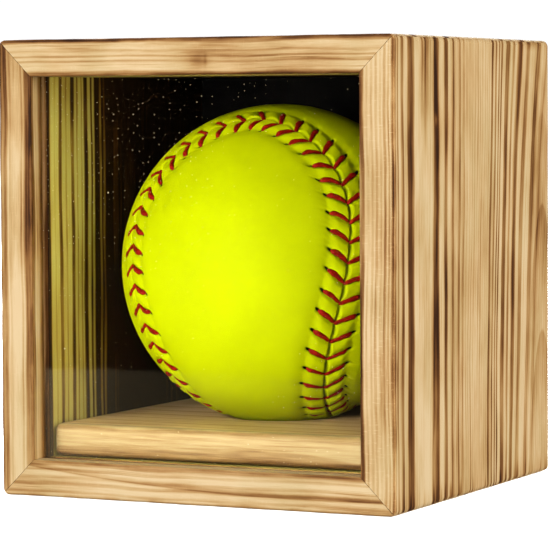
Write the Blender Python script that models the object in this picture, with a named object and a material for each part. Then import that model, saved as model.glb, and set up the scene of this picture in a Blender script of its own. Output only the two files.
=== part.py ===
"""Softball shadow box: a mitred pine case with a fixed clear front, and a pull-out tray that carries the ball.

The front faces -Y, +Z is up, and the origin is the centre of the footprint. Lengths are in metres.
"""

import math

import bmesh
import bpy
from mathutils import Matrix, Vector

MM = 0.001

# Case: four boards of one thickness, mitred at the corners.
CASE_WIDTH = 127.0 * MM
CASE_DEPTH = 119.0 * MM
CASE_HEIGHT = 134.0 * MM
BOARD_THICKNESS = 10.8 * MM
MITRE_GAP = 0.3 * MM
CORNER_RADIUS = 2.0 * MM
FRONT_EDGE_RADIUS = 0.8 * MM
REAR_EDGE_RADIUS = 1.6 * MM
INNER_EDGE_RADIUS = 0.5 * MM
EDGE_STEPS = 4

# Clear front pane, held in a groove that runs round all four boards.
GROOVE_SETBACK = 6.5 * MM
GROOVE_WIDTH = 3.6 * MM
GROOVE_DEPTH = 4.0 * MM
PANE_THICKNESS = 3.0 * MM
PANE_EDGE_PLAY = 0.4 * MM

# Back panel, let into a rabbet in the rear edge of the boards.
RABBET_WIDTH = BOARD_THICKNESS / 2
PANEL_THICKNESS = 4.0 * MM
PANEL_RECESS = 5.7 * MM
PANEL_PLAY = 0.5 * MM
TOUCH_GAP = 0.3 * MM

# Ball: a 12-inch softball.
BALL_RADIUS = 48.5 * MM
BALL_HEIGHT = 66.4 * MM
BALL_PANE_GAP = 1.0 * MM
COVER_THICKNESS = 2.5 * MM
CORE_GAP = 0.7 * MM
SEAM_WAIST = 0.375
SEAM_HALF_WIDTH = 0.9 * MM
SEAM_THREAD_RADIUS = 0.45 * MM
SEAM_THREAD_SINK = 0.35 * MM
SEAM_POINTS = 132
BALL_TURN = math.radians(-86.5)
BALL_TILT_X = math.radians(-1.4)
BALL_TILT_Y = math.radians(2.1)

# Base board of the tray, with a shallow dish for the ball.
BASE_THICKNESS = 9.5 * MM
BASE_SIDE_PLAY = 0.6 * MM
BASE_ROUNDING = 2.2 * MM
BASE_FRONT_GAP = 1.0 * MM
DISH_CLEARANCE = 0.5 * MM

# Fasteners, as (head radius, head height, shank radius, shank length).
PANEL_SCREW = (2.7 * MM, 1.6 * MM, 1.4 * MM, 17.0 * MM)
PANEL_SCREW_SPREAD = 34.0 * MM
KNOB_SCREW = (2.8 * MM, 1.8 * MM, 1.45 * MM, 9.0 * MM)
BORE_CLEARANCE = 0.4 * MM
RECESS_SLOT = 0.7 * MM
RECESS_DEPTH = 1.0 * MM

# Pull knob on the back panel and its washer.
KNOB_HEIGHT_ON_PANEL = 96.0 * MM
KNOB_RADIUS = 7.5 * MM
KNOB_WAIST_RADIUS = 4.2 * MM
KNOB_FOOT_RADIUS = 5.5 * MM
KNOB_LENGTH = 5.1 * MM
WASHER_RADIUS = 3.6 * MM
WASHER_THICKNESS = 0.5 * MM

# Disc magnets: four in the rabbet's shoulder, and four facing them in the back panel.
MAGNET_RADIUS = 1.5 * MM
MAGNET_LENGTH = 2.0 * MM
MAGNET_SINK = 0.1 * MM
MAGNET_POCKET_PLAY = 0.3 * MM
MAGNET_HEIGHTS = {"lower": 28.0 * MM, "upper": 106.0 * MM}

FRONT_Y = -CASE_DEPTH / 2
REAR_Y = CASE_DEPTH / 2
PANE_FRONT_Y = FRONT_Y + GROOVE_SETBACK + (GROOVE_WIDTH - PANE_THICKNESS) / 2
PANE_BACK_Y = PANE_FRONT_Y + PANE_THICKNESS
PANEL_REAR_Y = REAR_Y - PANEL_RECESS
PANEL_FRONT_Y = PANEL_REAR_Y - PANEL_THICKNESS
SHOULDER_Y = PANEL_FRONT_Y - TOUCH_GAP
BALL_CENTRE = Vector((0.0, PANE_BACK_Y + BALL_PANE_GAP + BALL_RADIUS, BALL_HEIGHT))
BASE_BOTTOM_Z = BOARD_THICKNESS + TOUCH_GAP
BASE_FRONT_Y = PANE_BACK_Y + BASE_FRONT_GAP
BASE_REAR_Y = PANEL_FRONT_Y - TOUCH_GAP
SCREW_HEIGHT = BASE_BOTTOM_Z + BASE_THICKNESS / 2
MAGNET_X = CASE_WIDTH / 2 - BOARD_THICKNESS + RABBET_WIDTH / 2


def clear_scene():
    for obj in list(bpy.data.objects):
        bpy.data.objects.remove(obj, do_unlink=True)


def make_material(name, color, roughness, metallic=0.0, transmission=0.0):
    material = bpy.data.materials.new(name)
    material.use_nodes = True
    shader = material.node_tree.nodes["Principled BSDF"]
    shader.inputs["Base Color"].default_value = (*color, 1.0)
    shader.inputs["Roughness"].default_value = roughness
    shader.inputs["Metallic"].default_value = metallic
    shader.inputs["Transmission Weight"].default_value = transmission
    return material


def add_object(name, data, material=None, location=(0, 0, 0), rotation=(0, 0, 0), parent=None):
    obj = bpy.data.objects.new(name, data)
    bpy.context.scene.collection.objects.link(obj)
    obj.location = location
    obj.rotation_euler = rotation
    obj.parent = parent
    if material and not data.materials:
        data.materials.append(material)
    return obj


def mesh_from(bm, name, smooth_angle=None):
    bmesh.ops.recalc_face_normals(bm, faces=bm.faces)
    mesh = bpy.data.meshes.new(name)
    bm.to_mesh(mesh)
    bm.free()
    if smooth_angle:
        mesh.shade_smooth()
        mesh.set_sharp_from_angle(angle=math.radians(smooth_angle))
    return mesh


def block_mesh(name, size):
    bm = bmesh.new()
    bmesh.ops.create_cube(bm, size=1.0, matrix=Matrix.Diagonal((*size, 1.0)))
    return mesh_from(bm, name)


def turned_mesh(name, profile, sides):
    """A body of revolution about Z; profile lists (radius, height) from axis to axis, or a closed ring."""
    bm = bmesh.new()
    points = [bm.verts.new((radius, 0, height)) for radius, height in profile]
    edges = [bm.edges.new(pair) for pair in zip(points, points[1:])]
    if profile[0][0] > 0:
        edges.append(bm.edges.new((points[-1], points[0])))
    bmesh.ops.spin(
        bm,
        geom=points + edges,
        cent=(0, 0, 0),
        axis=(0, 0, 1),
        angle=math.tau,
        steps=sides,
        use_merge=True,
    )
    bmesh.ops.remove_doubles(bm, verts=bm.verts, dist=0.00001)
    return mesh_from(bm, name, smooth_angle=35)


def cut(obj, cutter):
    """Subtracts the cutter, which stays as a hidden helper."""
    cutter.hide_render = True
    cutter.display_type = "WIRE"
    modifier = obj.modifiers.new("cut " + cutter.name, "BOOLEAN")
    modifier.operation = "DIFFERENCE"
    modifier.solver = "EXACT"
    modifier.object = cutter


def bevel(obj, width, segments):
    modifier = obj.modifiers.new("eased edges", "BEVEL")
    modifier.width = width
    modifier.segments = segments


def drill(obj, name, radius, length, start, sides=20):
    """Cuts a round hole into obj along +Y, from start."""
    profile = [(0, 0), (radius, 0), (radius, length), (0, length)]
    cutter = add_object(name, turned_mesh(name, profile, sides), location=start)
    cutter.rotation_euler = (math.radians(-90), 0, 0)
    cut(obj, cutter)


# Case boards


def quarter_inset(distance, radius):
    """How far a rounded edge stands back, at this distance from the end of the board."""
    if distance >= radius:
        return 0.0
    return radius - math.sqrt(radius**2 - (radius - distance) ** 2)


def edge_distances(radius):
    return [radius * (1 - math.cos(math.pi / 2 * step / EDGE_STEPS)) for step in range(EDGE_STEPS + 1)]


def board_section(length, inset, inner):
    """Outline (along, inward) of one mitred board: its rounded outer corners, then its inner face."""
    radius = CORNER_RADIUS - inset
    half_gap = MITRE_GAP / 2
    trim = math.asin(half_gap / radius)
    centre = -length / 2 + CORNER_RADIUS
    outline = [(-length / 2 + inner + half_gap * math.sqrt(2), inner)]
    first = math.radians(225) + trim
    last = math.radians(270)
    for step in range(EDGE_STEPS + 1):
        angle = first + (last - first) * step / EDGE_STEPS
        outline.append((centre + radius * math.cos(angle), CORNER_RADIUS + radius * math.sin(angle)))
    return outline + [(-along, inward) for along, inward in reversed(outline)]


def board_stations():
    """(depth, outer inset, inner thickness) from front to rear: eased edges, pane groove and rear rabbet."""
    full = BOARD_THICKNESS
    grooved = full - GROOVE_DEPTH
    rabbeted = full - RABBET_WIDTH
    shoulder = SHOULDER_Y - FRONT_Y
    groove_end = GROOVE_SETBACK + GROOVE_WIDTH
    stations = [
        (depth, quarter_inset(depth, FRONT_EDGE_RADIUS), full - quarter_inset(depth, INNER_EDGE_RADIUS))
        for depth in edge_distances(FRONT_EDGE_RADIUS)
    ]
    stations += [(GROOVE_SETBACK, 0.0, full), (GROOVE_SETBACK, 0.0, grooved)]
    stations += [(groove_end, 0.0, grooved), (groove_end, 0.0, full)]
    stations += [(shoulder, 0.0, full), (shoulder, 0.0, rabbeted)]
    stations += [
        (CASE_DEPTH - depth, quarter_inset(depth, REAR_EDGE_RADIUS), rabbeted)
        for depth in reversed(edge_distances(REAR_EDGE_RADIUS))
    ]
    return stations


def board_mesh(name, length):
    bm = bmesh.new()
    rings = []
    for depth, inset, inner in board_stations():
        outline = board_section(length, inset, inner)
        rings.append([bm.verts.new((along, depth, inward)) for along, inward in outline])
    for near, far in zip(rings, rings[1:]):
        for index in range(len(near)):
            following = (index + 1) % len(near)
            bm.faces.new((near[index], near[following], far[following], far[index]))
    bm.faces.new(rings[0])
    bm.faces.new(rings[-1])
    return mesh_from(bm, name, smooth_angle=30)


def build_case():
    pine = make_material("torched_pine", (0.69, 0.46, 0.23), 0.55)
    upright = board_mesh("upright board", CASE_HEIGHT)
    level = board_mesh("level board", CASE_WIDTH)
    places = {
        "bottom_board": (level, (0, FRONT_Y, 0), 0),
        "right_board": (upright, (CASE_WIDTH / 2, FRONT_Y, CASE_HEIGHT / 2), -90),
        "top_board": (level, (0, FRONT_Y, CASE_HEIGHT), 180),
        "left_board": (upright, (-CASE_WIDTH / 2, FRONT_Y, CASE_HEIGHT / 2), 90),
    }
    boards = {}
    for name, (mesh, location, degrees) in places.items():
        boards[name] = add_object(name, mesh, pine, location, (0, math.radians(degrees), 0))
    return boards


def build_pane():
    clear = make_material("clear_acrylic", (0.96, 0.98, 0.97), 0.03, transmission=1.0)
    reach = 2 * (GROOVE_DEPTH - PANE_EDGE_PLAY - BOARD_THICKNESS)
    size = (CASE_WIDTH + reach, PANE_THICKNESS, CASE_HEIGHT + reach)
    pane = add_object("front_pane", block_mesh("front_pane", size), clear)
    pane.location = (0, PANE_FRONT_Y + PANE_THICKNESS / 2, CASE_HEIGHT / 2)
    bevel(pane, 0.3 * MM, 1)


# Tray


def build_base_board(tray):
    pine = make_material("base_pine", (0.72, 0.50, 0.27), 0.5)
    width = CASE_WIDTH - 2 * BOARD_THICKNESS - 2 * BASE_SIDE_PLAY
    depth = BASE_REAR_Y - BASE_FRONT_Y
    mesh = block_mesh("base_board", (width, depth, BASE_THICKNESS))
    base = add_object("base_board", mesh, pine, parent=tray)
    base.location = (0, (BASE_REAR_Y + BASE_FRONT_Y) / 2, SCREW_HEIGHT)
    bevel(base, BASE_ROUNDING, 3)
    bm = bmesh.new()
    radius = BALL_RADIUS + DISH_CLEARANCE
    bmesh.ops.create_uvsphere(bm, u_segments=48, v_segments=36, radius=radius)
    dish = add_object("dish cutter", mesh_from(bm, "dish cutter"), location=BALL_CENTRE)
    cut(base, dish)
    bore = PANEL_SCREW[2] + BORE_CLEARANCE
    bore_length = PANEL_SCREW[1] + PANEL_SCREW[3]
    for side in (-1, 1):
        start = (side * PANEL_SCREW_SPREAD, PANEL_REAR_Y - bore_length - BORE_CLEARANCE, SCREW_HEIGHT)
        drill(base, f"base bore {side}", bore, bore_length, start)
    return base


def build_back_panel(tray):
    black = make_material("black_board", (0.012, 0.011, 0.011), 0.75)
    opening = 2 * (RABBET_WIDTH - BOARD_THICKNESS - PANEL_PLAY)
    size = (CASE_WIDTH + opening, PANEL_THICKNESS, CASE_HEIGHT + opening)
    panel = add_object("back_panel", block_mesh("back_panel", size), black, parent=tray)
    panel.location = (0, PANEL_FRONT_Y + PANEL_THICKNESS / 2, CASE_HEIGHT / 2)
    bevel(panel, 0.4 * MM, 2)
    head, head_height, shank, _ = PANEL_SCREW
    for side in (-1, 1):
        seat = countersink_profile(head + BORE_CLEARANCE, head_height, shank + BORE_CLEARANCE)
        cutter = add_object(f"countersink {side}", turned_mesh("countersink", seat, 24))
        cutter.location = (side * PANEL_SCREW_SPREAD, PANEL_REAR_Y, SCREW_HEIGHT)
        cutter.rotation_euler = (math.radians(-90), 0, 0)
        cut(panel, cutter)
    start = (0, PANEL_FRONT_Y - MM, KNOB_HEIGHT_ON_PANEL)
    drill(panel, "knob bore", KNOB_SCREW[2] + BORE_CLEARANCE, PANEL_THICKNESS + 2 * MM, start)
    return panel


def countersink_profile(head, head_height, shank):
    """A hole right through the panel, with a conical seat that opens past the rear face."""
    through = -PANEL_THICKNESS - MM
    return [(0, MM), (head, MM), (head, 0), (shank, -head_height), (shank, through), (0, through)]


def cross_recess(screw, half_span):
    """Cuts a cross-shaped driver recess into the screw's head, which faces local +Z."""
    for degrees in (0, 90):
        size = (2 * half_span, RECESS_SLOT, 2 * RECESS_DEPTH)
        name = f"{screw.name} slot {degrees}"
        slot = add_object(name, block_mesh(name, size), parent=screw)
        slot.rotation_euler = (0, 0, math.radians(degrees))
        cut(screw, slot)


def build_screws(tray):
    steel = make_material("screw_steel", (0.55, 0.54, 0.52), 0.35, metallic=1.0)
    head, head_height, shank, length = PANEL_SCREW
    tip = 3.0 * MM
    end = -head_height - length
    wood_screw = [(0, 0), (head, 0), (shank, -head_height), (shank, end + tip), (0, end)]
    for name, side in (("panel_screw_left", -1), ("panel_screw_right", 1)):
        screw = add_object(name, turned_mesh(name, wood_screw, 20), steel, parent=tray)
        screw.location = (side * PANEL_SCREW_SPREAD, PANEL_REAR_Y - 0.1 * MM, SCREW_HEIGHT)
        screw.rotation_euler = (math.radians(-90), 0, 0)
        cross_recess(screw, 0.6 * head)
    head, head_height, shank, length = KNOB_SCREW
    pan = [(0, 0), (0.6 * head, 0), (0.92 * head, -0.35 * head_height), (head, -0.7 * head_height)]
    pan += [(head, -head_height), (shank, -head_height), (shank, -head_height - length)]
    pan += [(0, -head_height - length)]
    screw = add_object("knob_screw", turned_mesh("knob_screw", pan, 20), steel, parent=tray)
    seat = PANEL_FRONT_Y - 2 * TOUCH_GAP - WASHER_THICKNESS
    screw.location = (0, seat - head_height, KNOB_HEIGHT_ON_PANEL)
    screw.rotation_euler = (math.radians(90), 0, 0)
    cross_recess(screw, 0.55 * head)
    hole = shank + BORE_CLEARANCE
    ring = [(hole, 0), (WASHER_RADIUS, 0), (WASHER_RADIUS, -WASHER_THICKNESS), (hole, -WASHER_THICKNESS)]
    washer = add_object("knob_washer", turned_mesh("knob_washer", ring, 24), steel, parent=tray)
    washer.location = (0, PANEL_FRONT_Y - TOUCH_GAP, KNOB_HEIGHT_ON_PANEL)
    washer.rotation_euler = (math.radians(-90), 0, 0)


def build_knob(tray):
    black = make_material("black_knob", (0.016, 0.015, 0.014), 0.35)
    reach = -TOUCH_GAP * 2 - WASHER_THICKNESS + KNOB_SCREW[3] - PANEL_THICKNESS
    bore = KNOB_SCREW[2] + BORE_CLEARANCE
    bore_depth = reach + BORE_CLEARANCE
    top = KNOB_LENGTH
    profile = [(bore, bore_depth), (bore, 0), (KNOB_FOOT_RADIUS, 0), (KNOB_WAIST_RADIUS, 0.18 * top)]
    profile += [(KNOB_WAIST_RADIUS, 0.42 * top), (0.92 * KNOB_RADIUS, 0.62 * top)]
    profile += [(KNOB_RADIUS, 0.74 * top), (0.96 * KNOB_RADIUS, 0.88 * top), (0.85 * KNOB_RADIUS, top)]
    profile = [(0, bore_depth)] + profile + [(0, top)]
    knob = add_object("pull_knob", turned_mesh("pull_knob", profile, 32), black, parent=tray)
    knob.location = (0, PANEL_REAR_Y + TOUCH_GAP, KNOB_HEIGHT_ON_PANEL)
    knob.rotation_euler = (math.radians(-90), 0, 0)


# Magnets


def build_magnets(boards, panel, tray):
    nickel = make_material("nickel_plate", (0.75, 0.74, 0.71), 0.2, metallic=1.0)
    disc = [(0, 0), (MAGNET_RADIUS, 0), (MAGNET_RADIUS, MAGNET_LENGTH), (0, MAGNET_LENGTH)]
    mesh = turned_mesh("disc_magnet", disc, 16)
    pocket = MAGNET_RADIUS + MAGNET_POCKET_PLAY
    pocket_depth = MAGNET_LENGTH + MAGNET_SINK + MAGNET_POCKET_PLAY
    rotation = (math.radians(-90), 0, 0)
    for side, sign in (("left", -1), ("right", 1)):
        for level, height in MAGNET_HEIGHTS.items():
            x = sign * MAGNET_X
            start = (x, SHOULDER_Y - pocket_depth, height)
            drill(boards[side + "_board"], f"case pocket {side} {level}", pocket, 2 * pocket_depth, start)
            place = (x, SHOULDER_Y - MAGNET_SINK - MAGNET_LENGTH, height)
            add_object(f"case_magnet_{side}_{level}", mesh, nickel, place, rotation)
            start = (x, PANEL_FRONT_Y - pocket_depth, height)
            drill(panel, f"panel pocket {side} {level}", pocket, 2 * pocket_depth, start)
            place = (x, PANEL_FRONT_Y + MAGNET_SINK, height)
            add_object(f"panel_magnet_{side}_{level}", mesh, nickel, place, rotation, tray)


# Ball


def seam_point(turn):
    """Unit vector on the seam of a two-piece ball cover; turn runs from 0 to 4 pi round the whole seam."""
    polar = math.pi / 2 - (math.pi / 2 - SEAM_WAIST) * math.cos(turn)
    azimuth = turn / 2 + SEAM_WAIST * math.sin(2 * turn)
    flat = math.sin(polar)
    return Vector((flat * math.cos(azimuth), flat * math.sin(azimuth), math.cos(polar)))


def cover_edge(turn):
    """Unit vector on the edge of the cover piece whose waist crosses +Z, just inside the seam."""
    step = 0.001
    point = seam_point(turn)
    inward = (seam_point(turn + step) - seam_point(turn - step)).cross(point).normalized()
    return (point - inward * SEAM_HALF_WIDTH / BALL_RADIUS).normalized()


def cover_mesh(name, rows=44, columns=12):
    """One figure-of-eight cover piece: rows run along it, and each row crosses from edge to edge."""
    bm = bmesh.new()
    layers = []
    for radius in (BALL_RADIUS, BALL_RADIUS - COVER_THICKNESS):
        grid = []
        for row in range(rows + 1):
            edge = cover_edge(math.pi * (2 * row / rows - 1))
            edge.x = max(edge.x, 0.0)
            middle = Vector((0, edge.y, edge.z)).normalized()
            half_angle = math.atan2(edge.x, math.hypot(edge.y, edge.z))
            line = []
            for column in range(columns + 1):
                angle = half_angle * (1 - 2 * column / columns)
                side = Vector((math.sin(angle), 0, 0))
                line.append(bm.verts.new((side + middle * math.cos(angle)) * radius))
            grid.append(line)
        layers.append(grid)
    outer, inner = layers
    for row in range(rows):
        for column in range(columns):
            for grid in layers:
                corners = (grid[row][column], grid[row][column + 1])
                bm.faces.new(corners + (grid[row + 1][column + 1], grid[row + 1][column]))
        for column in (0, columns):
            corners = (outer[row][column], outer[row + 1][column])
            bm.faces.new(corners + (inner[row + 1][column], inner[row][column]))
    bmesh.ops.remove_doubles(bm, verts=bm.verts, dist=0.00001)
    bmesh.ops.dissolve_degenerate(bm, edges=bm.edges, dist=0.00001)
    return mesh_from(bm, name, smooth_angle=40)


def build_seam(ball):
    red = make_material("red_thread", (0.35, 0.01, 0.01), 0.6)
    curve = bpy.data.curves.new("seam_thread", "CURVE")
    curve.dimensions = "3D"
    curve.bevel_depth = SEAM_THREAD_RADIUS
    curve.bevel_resolution = 1
    spline = curve.splines.new("POLY")
    spline.points.add(SEAM_POINTS - 1)
    spline.use_cyclic_u = True
    for index, point in enumerate(spline.points):
        place = seam_point(4 * math.pi * index / SEAM_POINTS) * (BALL_RADIUS - SEAM_THREAD_SINK)
        point.co = (*place, 1.0)
    add_object("seam_thread", curve, red, parent=ball)


def build_ball(tray):
    """The ball turns on the dish about the upright axis through its centre, where its parent empty stands."""
    axis = add_object("ball axis", None, location=BALL_CENTRE, parent=tray)
    ball = add_object("ball lie", None, rotation=(BALL_TILT_X, BALL_TILT_Y, BALL_TURN), parent=axis)
    yellow = make_material("optic_yellow_cover", (0.78, 0.95, 0.02), 0.42)
    mesh = cover_mesh("ball_cover")
    add_object("ball_cover_a", mesh, yellow, parent=ball)
    other = add_object("ball_cover_b", mesh, yellow, parent=ball)
    half_turn = Matrix.Rotation(math.pi, 4, Vector((1, 1, 0)))
    other.rotation_euler = half_turn.to_euler()
    cork = make_material("ball_core_foam", (0.55, 0.42, 0.25), 0.8)
    bm = bmesh.new()
    radius = BALL_RADIUS - COVER_THICKNESS - CORE_GAP
    bmesh.ops.create_uvsphere(bm, u_segments=24, v_segments=12, radius=radius)
    add_object("ball_core", mesh_from(bm, "ball_core", smooth_angle=60), cork, parent=ball)
    build_seam(ball)


def build():
    clear_scene()
    boards = build_case()
    build_pane()
    tray = add_object("tray slide", None)
    build_base_board(tray)
    panel = build_back_panel(tray)
    build_screws(tray)
    build_knob(tray)
    build_magnets(boards, panel, tray)
    build_ball(tray)


build()
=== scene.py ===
"""Looks for the softball shadow box: torched pine, clear pane, stitched ball, black back.

Lengths are in metres, except inside functions that say millimetres.
"""

import math
import random

import bmesh
import bpy
import numpy as np
from mathutils import Euler, Matrix, Vector, kdtree, noise


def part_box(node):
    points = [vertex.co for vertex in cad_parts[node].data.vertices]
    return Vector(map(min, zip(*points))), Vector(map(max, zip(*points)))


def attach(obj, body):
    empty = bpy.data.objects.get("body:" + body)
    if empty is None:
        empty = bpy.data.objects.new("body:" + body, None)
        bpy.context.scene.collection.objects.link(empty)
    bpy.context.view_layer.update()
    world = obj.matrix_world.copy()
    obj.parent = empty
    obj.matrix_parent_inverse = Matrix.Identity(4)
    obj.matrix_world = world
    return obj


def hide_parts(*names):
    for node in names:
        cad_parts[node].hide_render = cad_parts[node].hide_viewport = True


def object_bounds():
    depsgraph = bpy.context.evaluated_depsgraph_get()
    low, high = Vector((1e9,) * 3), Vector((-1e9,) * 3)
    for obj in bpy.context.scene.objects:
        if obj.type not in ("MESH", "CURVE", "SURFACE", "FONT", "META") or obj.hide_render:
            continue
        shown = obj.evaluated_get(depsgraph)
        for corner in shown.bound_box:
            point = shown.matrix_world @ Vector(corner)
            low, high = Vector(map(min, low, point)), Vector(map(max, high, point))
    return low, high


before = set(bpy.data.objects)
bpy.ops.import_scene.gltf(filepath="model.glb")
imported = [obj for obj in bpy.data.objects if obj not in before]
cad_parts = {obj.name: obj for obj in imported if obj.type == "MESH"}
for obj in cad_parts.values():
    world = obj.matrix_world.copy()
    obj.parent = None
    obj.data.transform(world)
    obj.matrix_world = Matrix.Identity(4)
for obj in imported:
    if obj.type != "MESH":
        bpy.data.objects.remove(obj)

MM = 0.001
CAD_BOX = [list(corner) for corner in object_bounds()]

# Case, from the bounds of the CAD parts.
CASE_LOW, CASE_HIGH = (Vector(corner) for corner in CAD_BOX)
CASE_WIDTH = CASE_HIGH.x - CASE_LOW.x
CASE_HEIGHT = CASE_HIGH.z
FRONT_Y = CASE_LOW.y
REAR_Y = CASE_HIGH.y
CASE_DEPTH = REAR_Y - FRONT_Y
BOARD_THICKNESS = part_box("bottom_board")[1].z
PANE_FRONT_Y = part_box("front_pane")[0].y
PANEL_FRONT_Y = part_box("back_panel")[0].y
TOUCH_GAP = 0.3 * MM

# Edges, groove and rabbet of the boards.
MITRE_GAP = 0.1 * MM
CORNER_RADIUS = 2.0 * MM
FRONT_EDGE_RADIUS = 0.8 * MM
REAR_EDGE_RADIUS = 1.6 * MM
INNER_EDGE_RADIUS = 0.5 * MM
GROOVE_SETBACK = 6.5 * MM
GROOVE_WIDTH = 3.6 * MM
GROOVE_DEPTH = 4.0 * MM
RABBET_WIDTH = BOARD_THICKNESS / 2
SHOULDER_Y = PANEL_FRONT_Y - TOUCH_GAP
SANDING_DEPTH = 0.16 * MM

# Magnets and their pockets.
MAGNET_RADIUS = 1.5 * MM
MAGNET_LENGTH = 2.0 * MM
MAGNET_SINK = 0.1 * MM
POCKET_PLAY = 0.3 * MM

# Hardware, in mm. AXIS is the small radius that stands for the axis of a turned piece.
AXIS = 0.02
THREAD_PITCH = 1.1
KNOB_BORE = 1.85
KNOB_BORE_DEPTH = 4.3
# The knob's outline as (share of its radius, share of its length).
KNOB_SHAPE = [
    (0.73, 0.0), (0.70, 0.10), (0.56, 0.24), (0.56, 0.42), (0.92, 0.60), (1.0, 0.73), (0.97, 0.88),
    (0.86, 0.99), (0.5, 1.0),
]

# Base board.
BASE_LOW, BASE_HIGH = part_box("base_board")
BASE_ROUNDING = 2.2 * MM
DISH_CLEARANCE = 0.5 * MM
SCREW_SHANK = 1.4 * MM
BORE_CLEARANCE = 0.4 * MM
BORE_LENGTH = 30 * MM

# Ball: the same radius, seam and lie as the CAD ball.
BALL_RADIUS = 48.5 * MM
BALL_CENTRE = sum(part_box("ball_core"), Vector()) / 2
SEAM_WAIST = 0.375
BALL_LIE = Euler((math.radians(-1.4), math.radians(2.1), math.radians(-86.5)))
STITCHES = 88
STITCH_PHASE = 0.24
LEG_SLOPE = 0.5

# Camera, fitted to the case's corners.
CAMERA_PLACE = Vector((0.3989, -0.8184, 0.1134))
CAMERA_YAW = math.radians(26.13)
CAMERA_PITCH = math.radians(3.16)
CAMERA_ROLL = math.radians(-0.32)
CAMERA_LENS = 197.0


def tone(red, green, blue):
    """Linear colour of a display colour given in 0 to 255."""
    levels = (red / 255, green / 255, blue / 255)
    return tuple(v / 12.92 if v <= 0.04045 else ((v + 0.055) / 1.055) ** 2.4 for v in levels)


# Node graphs


class Value:
    """A shader output that takes part in sums and products."""

    def __init__(self, graph, socket):
        self.graph = graph
        self.socket = socket

    def __add__(self, other):
        return self.graph.math("ADD", self, other)

    def __sub__(self, other):
        return self.graph.math("SUBTRACT", self, other)

    def __rsub__(self, other):
        return self.graph.math("SUBTRACT", other, self)

    def __mul__(self, other):
        return self.graph.math("MULTIPLY", self, other)

    def __truediv__(self, other):
        return self.graph.math("DIVIDE", self, other)

    __radd__ = __add__
    __rmul__ = __mul__


class Graph:
    """Short calls that build one material's nodes. Most return a Value."""

    def __init__(self, name):
        self.material = bpy.data.materials.new(name)
        self.material.use_nodes = True
        self.tree = self.material.node_tree
        self.tree.nodes.clear()

    def feed(self, socket, value):
        """Links or sets an input. A tuple that holds Values becomes a vector."""
        if isinstance(value, tuple) and any(isinstance(part, Value) for part in value):
            value = self.output("CombineXYZ", inputs=dict(enumerate(value)))
        if isinstance(value, Value):
            self.tree.links.new(value.socket, socket)
        else:
            socket.default_value = (*value, 1.0) if socket.type == "RGBA" else value

    def node(self, kind, settings=None, inputs=None):
        made = self.tree.nodes.new("ShaderNode" + kind)
        for key, value in (settings or {}).items():
            setattr(made, key, value)
        for key, value in (inputs or {}).items():
            self.feed(made.inputs[key], value)
        return made

    def output(self, kind, settings=None, inputs=None, key=0):
        return Value(self, self.node(kind, settings, inputs).outputs[key])

    def math(self, operation, *values, clamp=False):
        settings = {"operation": operation, "use_clamp": clamp}
        return self.output("Math", settings, dict(enumerate(values)))

    def smooth(self, value, low, high, start=0.0, end=1.0):
        settings = {"interpolation_type": "SMOOTHSTEP"}
        return self.output("MapRange", settings, dict(enumerate((value, low, high, start, end))))

    def bell(self, value, centre, width):
        """1 at centre, falling off smoothly to either side."""
        offset = (value - centre) / width
        return self.math("POWER", 2.718, offset * offset * -1.0)

    def place(self):
        """Row-frame x, y and z in millimetres."""
        coordinates = self.output("TexCoord", key="Object")
        split = self.node("SeparateXYZ", inputs={0: coordinates})
        return tuple(Value(self, axis) * 1000.0 for axis in split.outputs)

    def noise(self, vector, scale=1.0, detail=2.0, roughness=0.5):
        inputs = {"Vector": vector, "Scale": scale, "Detail": detail, "Roughness": roughness}
        return self.output("TexNoise", inputs=inputs)

    def ramp(self, value, stops, interpolation="LINEAR"):
        """stops: (position, grey level or linear colour)."""
        made = self.node("ValToRGB", inputs={0: value})
        made.color_ramp.interpolation = interpolation
        elements = made.color_ramp.elements
        while len(elements) < len(stops):
            elements.new(1.0)
        for element, (position, level) in zip(elements, stops):
            element.position = position
            element.color = (*(level if isinstance(level, tuple) else (level,) * 3), 1.0)
        return Value(self, made.outputs[0])

    def mix(self, factor, a, b, blend="MIX"):
        """Colours a and b mixed by factor."""
        settings = {"data_type": "RGBA", "blend_type": blend}
        return self.output("Mix", settings, {0: factor, 6: a, 7: b}, 2)

    def bump(self, height, distance, strength=1.0):
        inputs = {"Height": height, "Distance": distance, "Strength": strength}
        return self.output("Bump", inputs=inputs)

    def principled(self, **inputs):
        named = {key.replace("_", " "): value for key, value in inputs.items()}
        return self.output("BsdfPrincipled", inputs=named)

    def finish(self, shader):
        self.node("OutputMaterial", inputs={0: shader})
        return self.material


# Wood

PINE = [
    (0.0, tone(232, 203, 156)),
    (0.18, tone(217, 181, 127)),
    (0.38, tone(192, 148, 92)),
    (0.58, tone(155, 108, 58)),
    (0.78, tone(108, 65, 29)),
    (1.0, tone(56, 30, 12)),
]

# Bands as (ring coordinate in mm, half width in mm, darkness). The ring coordinate is the depth
# behind the front on a board's outer face, less a part of the depth into the board.
RIGHT_BANDS = [
    (-9.0, 0.4, 0.60), (-7.6, 0.2, 0.12), (-6.3, 0.2, 0.20), (-5.1, 0.2, 0.28), (-3.9, 0.2, 0.18),
    (-2.8, 0.3, 0.34), (-1.7, 0.2, 0.26), (-0.6, 0.3, 0.40), (0.7, 0.3, 0.30), (2.2, 0.5, 0.42),
    (5.6, 1.0, 0.60), (11.2, 2.4, 0.76), (28.6, 2.6, 0.84), (36.0, 1.3, 0.66), (41.2, 1.0, 0.46),
    (45.9, 0.6, 0.40), (48.9, 0.4, 0.28), (69.2, 0.8, 0.52), (71.9, 0.45, 0.54),
    (74.3, 0.4, 0.50), (76.2, 0.5, 0.54), (80.4, 1.7, 0.66), (84.2, 0.6, 0.44), (88.2, 1.5, 0.62),
    (93.6, 1.5, 0.42), (101.3, 1.8, 0.46), (107.0, 1.6, 0.16),
]
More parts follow.
